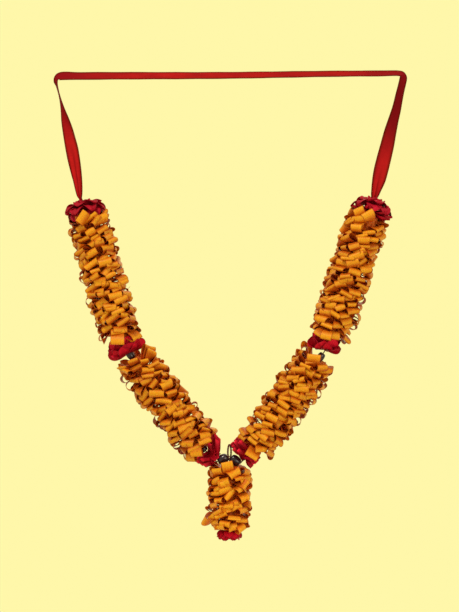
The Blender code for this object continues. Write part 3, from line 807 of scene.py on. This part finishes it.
# Rows of petals, as (count, start in degrees, outline, width, lean in degrees, height, size, cup, ruffle).
LEFT_TOP_ROWS = (
    (8, 0, RUFFLED, 0.0130, -14, -0.0030, 1.0, 0.0012, 0.0011),
    (8, 0, RUFFLED, 0.0135, 4, -0.0010, 1.0, 0.0014, 0.0013),
    (7, 0, RUFFLED, 0.0130, 20, 0.0010, 0.90, 0.0012, 0.0013),
    (7, -90, SHORT, 0.0090, 66, 0.0010, 1.0, 0.0008, 0.0008),
)
RIGHT_TOP_ROWS = (
    (9, 0, POINTED, 0.0140, -15, -0.0026, 1.04, 0.0014, 0.0008),
    (9, 0, POINTED, 0.0145, -6, -0.0014, 1.12, 0.0014, 0.0008),
    (8, 0, RUFFLED, 0.0150, 2, 0.0004, 1.08, 0.0014, 0.0010),
    (8, -90, RUFFLED, 0.0130, 26, 0.0020, 0.86, 0.0014, 0.0012),
    (8, -90, SHORT, 0.0100, 58, 0.0026, 1.05, 0.0008, 0.0008),
)
LEFT_MIDDLE_ROWS = (
    (5, -90, CUP, 0.0200, 36, -0.0046, 0.93, -0.0030, 0.0002),
    (5, -90, CUP_POINT, 0.0186, 38, -0.0028, 0.93, -0.0026, 0.0003),
    (5, 0, CUP, 0.0150, 50, -0.0010, 0.92, -0.0020, 0.0006),
)
RIGHT_MIDDLE_ROWS = (
    (6, -90, CUP_POINT, 0.0180, 26, -0.0044, 0.90, -0.0026, 0.0003),
    (6, -90, CUP_POINT, 0.0170, 40, -0.0026, 0.93, -0.0024, 0.0006),
    (5, 0, CUP_POINT, 0.0150, 54, -0.0010, 0.94, -0.0020, 0.0010),
)
PENDANT_ROWS = (
    (9, -90, SHORT, 0.0100, 30, -0.0022, 1.10, -0.0010, 0.0002),
    (7, -90, SHORT, 0.0100, 44, -0.0010, 1.0, -0.0014, 0.0002),
)


def flower(name, node, place, rows, seed, material, dull=0.0):
    """Rows of petals round a packed middle. Dull is the least share of the deep dye that a petal has."""
    draw = random.Random(seed)
    strips = Strips(place)
    for index, (count, start, outline, width, lean, height, row_size, cup, ruffle) in enumerate(rows):
        for k in range(count):
            turn = radians(start) + 2 * pi * (k + 0.5 * (index % 2)) / count
            turn += radians(draw.uniform(-7, 7))
            size = draw.uniform(0.90, 1.04) * row_size
            stations = [(out * size, rise * size, share) for out, rise, share in outline]
            petal(
                strips, turn, stations, width * draw.uniform(0.88, 1.08),
                shade=dull + (1 - dull) * draw.random() ** 1.4, height=height + draw.uniform(-0.0005, 0.0005),
                lean=radians(lean + draw.uniform(-7, 7)), roll=radians(draw.uniform(-16, 16)),
                cup=cup * draw.uniform(0.5, 1.3), ruffle=ruffle * draw.uniform(0.4, 1.3),
                waves=draw.uniform(1.4, 2.6), phase=draw.uniform(0, 2 * pi),
                sway=draw.uniform(-0.0014, 0.0014),
            )
    eye_of_flower(strips, seed + 300)
    place_piece(name, strips.mesh(name), material, "crimson_shaving", node)


def looped_flower(name, node, place, leans, sizes, thick, seed, material):
    """Narrow shavings folded into long flat loops, side by side round the string with their faces turned out.

    The two leans and sizes are those of the loops on local +X and on local -X, and thick spreads their rows.
    """
    draw = random.Random(seed)
    strips = Strips(place)
    for row, height in enumerate(LOOPED_ROWS):
        for k in range(LOOPED_COUNT):
            # The loops fan out to local +X and -X. Those that would point to the front or back are left out.
            turn = 2 * pi * (k + 0.37 * row) / LOOPED_COUNT
            turn += radians(draw.uniform(-8, 8)) - 0.72 * sin(2 * turn)
            if abs(cos(turn)) < 0.55:
                continue
            toward = (1 + cos(turn)) / 2
            lean = leans[1] + (leans[0] - leans[1]) * toward + draw.uniform(-5, 5)
            size = sizes[1] + (sizes[0] - sizes[1]) * toward
            loop(
                strips, height * thick, turn, draw.uniform(0.0164, 0.0206) * size,
                height=draw.uniform(0.0026, 0.0038), width=draw.uniform(0.0034, 0.0044) * thick,
                lean=tan(radians(lean)), tilt=radians(90 + draw.gauss(0, 10)),
                swing=draw.uniform(-0.0016, 0.0016), shade=draw.random() ** 1.4, neck=0.85, root=0.0012,
            )
    eye_of_flower(strips, seed + 300, 1.95)
    place_piece(name, strips.mesh(name), material, "crimson_shaving", node)


# Beads.
def bead(name, node, place, radius, length, material, seed):
    """An oval bead, a little uneven, with a bore whose mouths flare."""
    profile = []
    for i in range(BEAD_ROWS + 1):
        angle = radians(BEAD_MOUTH - 2 * BEAD_MOUTH * i / BEAD_ROWS)
        out = BEAD_BORE + (radius - BEAD_BORE) * cos(angle) ** 0.62
        profile.append((out, length / 2 * sin(angle) / sin(radians(BEAD_MOUTH))))
    for share in (1.0, 0.93, 0.6, 0.0, -0.6, -0.93, -1.0):
        out = BEAD_BORE * (1.30 if abs(share) == 1.0 else 1.0)
        profile.append((out, -length / 2 * share * 0.99))
    points = []
    for out, height in profile:
        for k in range(BEAD_SIDES):
            angle = 2 * pi * k / BEAD_SIDES
            lump = 1 + 0.012 * sin(2 * angle + seed) + 0.008 * sin(3 * angle + 2 * seed)
            points.append((out * lump * cos(angle), out * lump * sin(angle), height))
    faces = []
    for i in range(len(profile)):
        row = i * BEAD_SIDES
        next_row = (i + 1) % len(profile) * BEAD_SIDES
        for k in range(BEAD_SIDES):
            beside = (k + 1) % BEAD_SIDES
            faces.append((row + k, next_row + k, next_row + beside, row + beside))
    mesh = bpy.data.meshes.new(name)
    mesh.from_pydata(points, [], faces)
    mesh.transform(Matrix(place))
    mesh.shade_smooth()
    mesh.set_sharp_from_angle(angle=radians(60))
    place_piece(name, mesh, material, "black_bead", node)


# Thread.
class Ropes(Strips):
    """Round threads gathered into one mesh."""

    def tube(self, line, radius):
        rows = len(line)
        flow = unit(np.gradient(line, axis=0))
        normal = np.zeros_like(line)
        start = np.cross(flow[0], (0.0, 1.0, 0.3))
        normal[0] = start / np.linalg.norm(start)
        for i in range(1, rows):
            square = normal[i - 1] - flow[i] * np.dot(normal[i - 1], flow[i])
            normal[i] = square / np.linalg.norm(square)
        other = np.cross(flow, normal)
        angles = 2 * pi * np.arange(PLY_SIDES) / PLY_SIDES
        wide = np.full(rows, radius)
        wide[0] = wide[-1] = radius * 0.6
        ring = normal[:, None, :] * np.cos(angles)[:, None] + other[:, None, :] * np.sin(angles)[:, None]
        points = line[:, None, :] + ring * wide[:, None, None]
        self.points.append(points.reshape(-1, 3))
        index = np.arange(rows * PLY_SIDES).reshape(rows, PLY_SIDES) + self.total
        after = np.roll(index, -1, axis=1)
        self.faces.append(np.stack([index[:-1], after[:-1], after[1:], index[1:]], -1).reshape(-1, 4))
        self.caps += [index[0][::-1].tolist(), index[-1].tolist()]
        distance = distances(line) * MM
        grain = np.zeros((rows, PLY_SIDES, 3))
        grain[..., 0] = np.cos(angles) * radius * MM + distance[:, None] * 0.1
        grain[..., 1] = distance[:, None]
        grain[..., 2] = self.number
        self.grain.append(grain.reshape(-1, 3))
        self.total += rows * PLY_SIDES
        self.number += 1

    def twisted(self, line, radius, plies=3):
        """Plies twisted round each other along a line."""
        distance = distances(line)
        even = np.linspace(0.0, distance[-1], max(8, int(distance[-1] / 0.00045)))
        line = np.stack([np.interp(even, distance, line[:, i]) for i in range(3)], -1)
        flow = unit(np.gradient(line, axis=0))
        normal = unit(np.cross(flow, (0.0, 1.0, 0.05)))
        other = np.cross(flow, normal)
        ply = radius * 0.52
        for k in range(plies):
            angle = 2 * pi * (even / PLY_PITCH + k / plies)
            offset = normal * np.cos(angle)[:, None] + other * np.sin(angle)[:, None]
            self.tube(line + offset * (radius - ply), ply)


def winding_line(place, radius, low, high, turns):
    """A close winding round local Z, from low to high."""
    t = np.linspace(0.0, 1.0, int(turns * 26))
    angle = 2 * pi * turns * t + 0.6
    local = np.stack([radius * np.cos(angle), radius * np.sin(angle), low + (high - low) * t], -1)
    return carried(place, local)


def knot_line(centre, size):
    """A closed line that crosses itself three times and stands for a small knot."""
    t = np.linspace(0.0, 2 * pi, 60)
    x = np.sin(t) + 2 * np.sin(2 * t)
    y = np.cos(t) - 2 * np.cos(2 * t)
    z = -np.sin(3 * t)
    return np.array(centre) + np.stack([x, y, z * 1.6], -1) * size / 3


def mirrored(point, side):
    """A point of the tie's own frame, turned over where the side is below zero."""
    return Vector((side * point[0], point[1], point[2]))


def make_string(left, right, material):
    """The main string round its low point, wound and knotted at the ribbon's ends. Gives the low point."""
    meeting = rounded(left.points[-2], left.points[-1], right.points[-2], MEETING_RADIUS, 8)
    ropes = Ropes()
    path = left.points[:-1] + meeting + right.points[:-1][::-1]
    ropes.twisted(np.array(path), STRING_RADIUS)
    for strand, side in ((left, -1), (right, 1)):
        tie = strand.frame(0.0, up=True)
        ropes.twisted(winding_line(tie, **WINDING), WINDING_THREAD, plies=2)
        ropes.twisted(knot_line(tie @ mirrored(TIE_KNOT_AT, side), TIE_KNOT), KNOT_THREAD, plies=2)
        tail = [tie @ mirrored(point, side) for point in TIE_TAIL]
        ropes.twisted(np.array(tail), TAIL_THREAD, plies=2)
    place_piece("twisted_string", ropes.mesh("twisted_string", 70), material, "cotton_string", "string")
    return meeting[len(meeting) // 2]


def make_pendant_string(low, material):
    """The pendant's string: a standing eye round the main string, a straight drop and a stop knot."""
    name = "twisted_pendant_string"
    ropes = Ropes()
    t = np.linspace(0.0, 2 * pi, 60)
    middle = low + DOWN * (EYE_BELOW - EYE_HEIGHT / 2)
    across = np.sin(t)[:, None] * spokes(radians(EYE_TURN))[0] * EYE_RADIUS
    eye = np.array(middle) + across - AXIS * (EYE_HEIGHT / 2) * np.cos(t)[:, None]
    ropes.twisted(eye, EYE_THREAD, plies=2)
    bottom = low + DOWN * (PENDANT_START + PENDANT_LENGTH + STOP_KNOT_BELOW)
    straight = np.linspace(low + DOWN * EYE_BELOW * 0.95, bottom, 30)
    ropes.twisted(straight, STRING_RADIUS)
    ropes.twisted(knot_line(bottom, STOP_KNOT), STRING_RADIUS)
    place_piece(name, ropes.mesh(name, 70), material, "cotton_string", "pendant_string")


# Ribbon.
def make_ribbon(material):
    """The ribbon from tie to tie, rolled to its stations, with soft folds where it is gathered."""
    stations = [(*station, RIBBON_WIDTH)[:4] for station in LEFT_STRAP + TOP_MIDDLE + RIGHT_STRAP]
    table = smooth_line(stations, RIBBON_STEPS)
    line = np.stack([table[:, 0], np.zeros(len(table)), table[:, 1]], -1)
    flow = unit(np.gradient(line, axis=0))
    inward = unit(np.cross(BACK, flow))
    roll = np.radians(table[:, 2])[:, None]
    side = unit(-np.array(BACK) * np.cos(roll) + inward * np.sin(roll))
    width = np.minimum(table[:, 3], RIBBON_WIDTH)
    across = np.linspace(-1.0, 1.0, RIBBON_COLUMNS + 1)
    distance = distances(line)
    fullness = np.maximum(RIBBON_WIDTH / width - 1.0, 0.0)
    depth = np.minimum(width / (2 * pi * FOLDS) * 2 * np.sqrt(fullness), FOLD_DEPTH)
    phase = 0.9 + 0.5 * np.sin(distance / 0.013)
    lift = depth[:, None] * np.cos(FOLDS * pi * across + phase[:, None])
    # The free stretches curl a little across, and each edge wanders as a cut length of ribbon does.
    lift = lift + 0.00035 * across**2 * np.sin(distance / 0.041 + 0.7)[:, None]
    lift = lift + 0.00010 * np.sin(distance / 0.0063)[:, None] * across**3
    strips = Strips()
    strips.add(line, side, width, RIBBON_WALL, 0.5, RIBBON_COLUMNS, lift)
    # Folds take up the cloth's width, so the weave and the edges are those of its whole width throughout.
    grain = strips.grain[0].reshape(len(line), RIBBON_COLUMNS + 1, 3)
    grain[..., 0] = across * RIBBON_WIDTH / 2 * MM
    strips.grain = [grain.reshape(-1, 3)] * 2
    strips.rim = [np.tile((1.0 - np.abs(across)) * RIBBON_WIDTH / 2 * MM, len(line))] * 2
    obj = place_piece("satin_ribbon", strips.mesh("satin_ribbon"), material, "red_satin", "ribbon")


# Light, world and floor.
def make_light(name, place, size, power, colour):
    data = bpy.data.lights.new(name, "AREA")
    data.shape = "DISK"
    data.size = size
    data.energy = power
    data.color = colour
    obj = linked(name, data)
    obj.location = place
    obj.rotation_euler = (Vector(GARLAND_MIDDLE) - Vector(place)).to_track_quat("-Z", "Y").to_euler()


def make_world():
    """A plain pale yellow behind the garland, and a softer white that lights it."""
    world = bpy.data.worlds.new("studio")
    bpy.context.scene.world = world
    world.use_nodes = True
    nodes, links = world.node_tree.nodes, world.node_tree.links
    seen = nodes["Background"]
    lit = nodes.new("ShaderNodeBackground")
    for light, colour, strength in ((seen, (1.0, 0.93, 0.40, 1.0), 1.0), (lit, (1.0, 0.92, 0.72, 1.0), 0.60)):
        light.inputs["Color"].default_value = colour
        light.inputs["Strength"].default_value = strength
    rays = nodes.new("ShaderNodeLightPath")
    mix = nodes.new("ShaderNodeMixShader")
    links.new(rays.outputs["Is Camera Ray"], mix.inputs[0])
    links.new(lit.outputs[0], mix.inputs[1])
    links.new(seen.outputs[0], mix.inputs[2])
    links.new(mix.outputs[0], nodes["World Output"].inputs[0])
    bpy.context.scene.view_settings.view_transform = "Standard"


def make_floor():
    """A plain pale floor, far below the garland."""
    floor = bpy.data.meshes.new("floor")
    turns = [2 * pi * k / FLOOR_SIDES for k in range(FLOOR_SIDES)]
    rim = [(FLOOR_RADIUS * cos(turn), FLOOR_RADIUS * sin(turn), FLOOR_HEIGHT) for turn in turns]
    floor.from_pydata(rim, [], [tuple(range(FLOOR_SIDES))])
    obj = linked("floor", floor)
    tree = Tree("floor", 0.8)
    tree.shader.inputs["Base Color"].default_value = (0.90, 0.85, 0.62, 1.0)
    floor.materials.append(tree.material)


# The garland.
# What differs from side to side. Askew turns the middle and the lower flower, in degrees. Aside moves the
# middle flower across the string, and onward moves the lower flower down it.
SIDES = {
    "left": dict(
        corners=LEFT_CORNERS, places=LEFT_PLACES, askew=(12, -4), seed=100,
        top_rows=LEFT_TOP_ROWS, dull=1.0, middle_rows=LEFT_MIDDLE_ROWS, aside=0.0014,
        end_leans=((30, 30), (28, 18)), tilts=((12, 6), (-28, -10)), ringed=0.25, bare=None,
        own_loops=(LEFT_UPPER_LOOPS, LEFT_LOWER_LOOPS), lower_look=((-24, -36), (0.68, 1.0), 1.15),
        onward=0.0028,
    ),
    "right": dict(
        corners=RIGHT_CORNERS, places=RIGHT_PLACES, askew=(0, 4), seed=200,
        top_rows=RIGHT_TOP_ROWS, dull=0.75, middle_rows=RIGHT_MIDDLE_ROWS, aside=-0.0018,
        end_leans=((4, 30), (20, 30)), tilts=((30, 4), (28, 2)), ringed=-0.42, bare=-2.3,
        own_loops=(RIGHT_UPPER_LOOPS, RIGHT_LOWER_LOOPS), lower_look=((0, 0), (1.02, 0.55), 1.02),
        onward=0.0,
    ),
}


def make_side(side, strand, orange, crimson, black):
    """The pieces threaded on one side of the string, from its top flower down to its last bead."""
    own = SIDES[side]
    seed = own["seed"]
    upper_end, small_bead, bloom, large_bead, lower_start = own["places"]
    second, middle, fourth = [strand.distance_of(knot) for knot in (1, 2, 3)]

    def oval(part, at, size, number):
        bead(f"{side}_{part}_oval", f"{side}_{part}_bead", strand.frame(at), *size, black, seed + number)

    def curls(part, start, end, row, number, bare):
        bunch(
            f"{side}_{part}_curls", f"{side}_{part}_shavings", strand.frame(start), end - start,
            own["end_leans"][row], own["tilts"][row], own["ringed"], seed + number, orange,
            own["own_loops"][row], bare,
        )

    def tipped(place, degrees):
        return place @ Matrix.Rotation(radians(degrees), 4, "Y")

    top_frame = strand.frame(TOP_FLOWER_AT, up=True)
    flower(f"{side}_top_petals", f"{side}_top_flower", top_frame, own["top_rows"], seed, crimson, own["dull"])
    curls("upper", second + UPPER_BUNCH_AT, middle + upper_end, 0, 1, own["bare"])
    oval("upper", middle + small_bead, SMALL_BEAD, 2)
    bloom_frame = tipped(strand.frame(middle + bloom, up=True), own["askew"][0])
    bloom_frame = bloom_frame @ Matrix.Translation((own["aside"], 0.0, 0.0))
    middle_rows = own["middle_rows"]
    flower(f"{side}_middle_petals", f"{side}_middle_flower", bloom_frame, middle_rows, seed + 3, crimson)
    oval("middle", middle + large_bead, LARGE_BEAD, 4)
    curls("lower", middle + lower_start, fourth + LOWER_BUNCH_END, 1, 5, None)
    oval("lower", fourth + LOWER_BEAD_AT, SMALL_BEAD, 6)
    lower_frame = tipped(strand.frame(fourth + LOWER_FLOWER_AT + own["onward"]), own["askew"][1])
    looped_flower(
        f"{side}_lower_petals", f"{side}_lower_flower", lower_frame, *own["lower_look"], seed + 7, crimson,
    )
    oval("centre", strand.length - CENTRE_BEAD_ABOVE, CENTRE_BEAD, 8)


def make_pendant(low, orange, crimson):
    """The short bunch under the low point, and its flower."""
    top = low + DOWN * PENDANT_START
    # Painted light: the greater fade makes more of the pendant's loops pale.
    bunch(
        "pendant_curls", "pendant_shavings", frame_at(top, DOWN), PENDANT_LENGTH, (6, 16), (20, 14), 0, 301,
        orange, PENDANT_LOOPS, narrow=0.26, fade=1.9,
    )
    middle = top + DOWN * (PENDANT_LENGTH + PENDANT_FLOWER_BELOW)
    flower("pendant_petals", "pendant_flower", frame_at(middle, DOWN), PENDANT_ROWS, 302, crimson)


def main():
    make_camera()
    make_ribbon(satin_material())
    # Two copies of one dye: the pendant's copy is lighter, as painted light.
    orange = orange_material("orange_shaving", 0.95)
    painted_lighter_orange = orange_material("painted_lighter_shaving", 1.06)
    crimson = crimson_material()
    black = bead_material()
    thread = thread_material()
    strands = {side: Strand(own["corners"] + [MEETING]) for side, own in SIDES.items()}
    low = make_string(strands["left"], strands["right"], thread)
    make_pendant_string(low, thread)
    for side, strand in strands.items():
        make_side(side, strand, orange, crimson, black)
    make_pendant(low, painted_lighter_orange, crimson)
    make_world()
    for light in LIGHTS:
        make_light(*light)
    make_floor()


main()
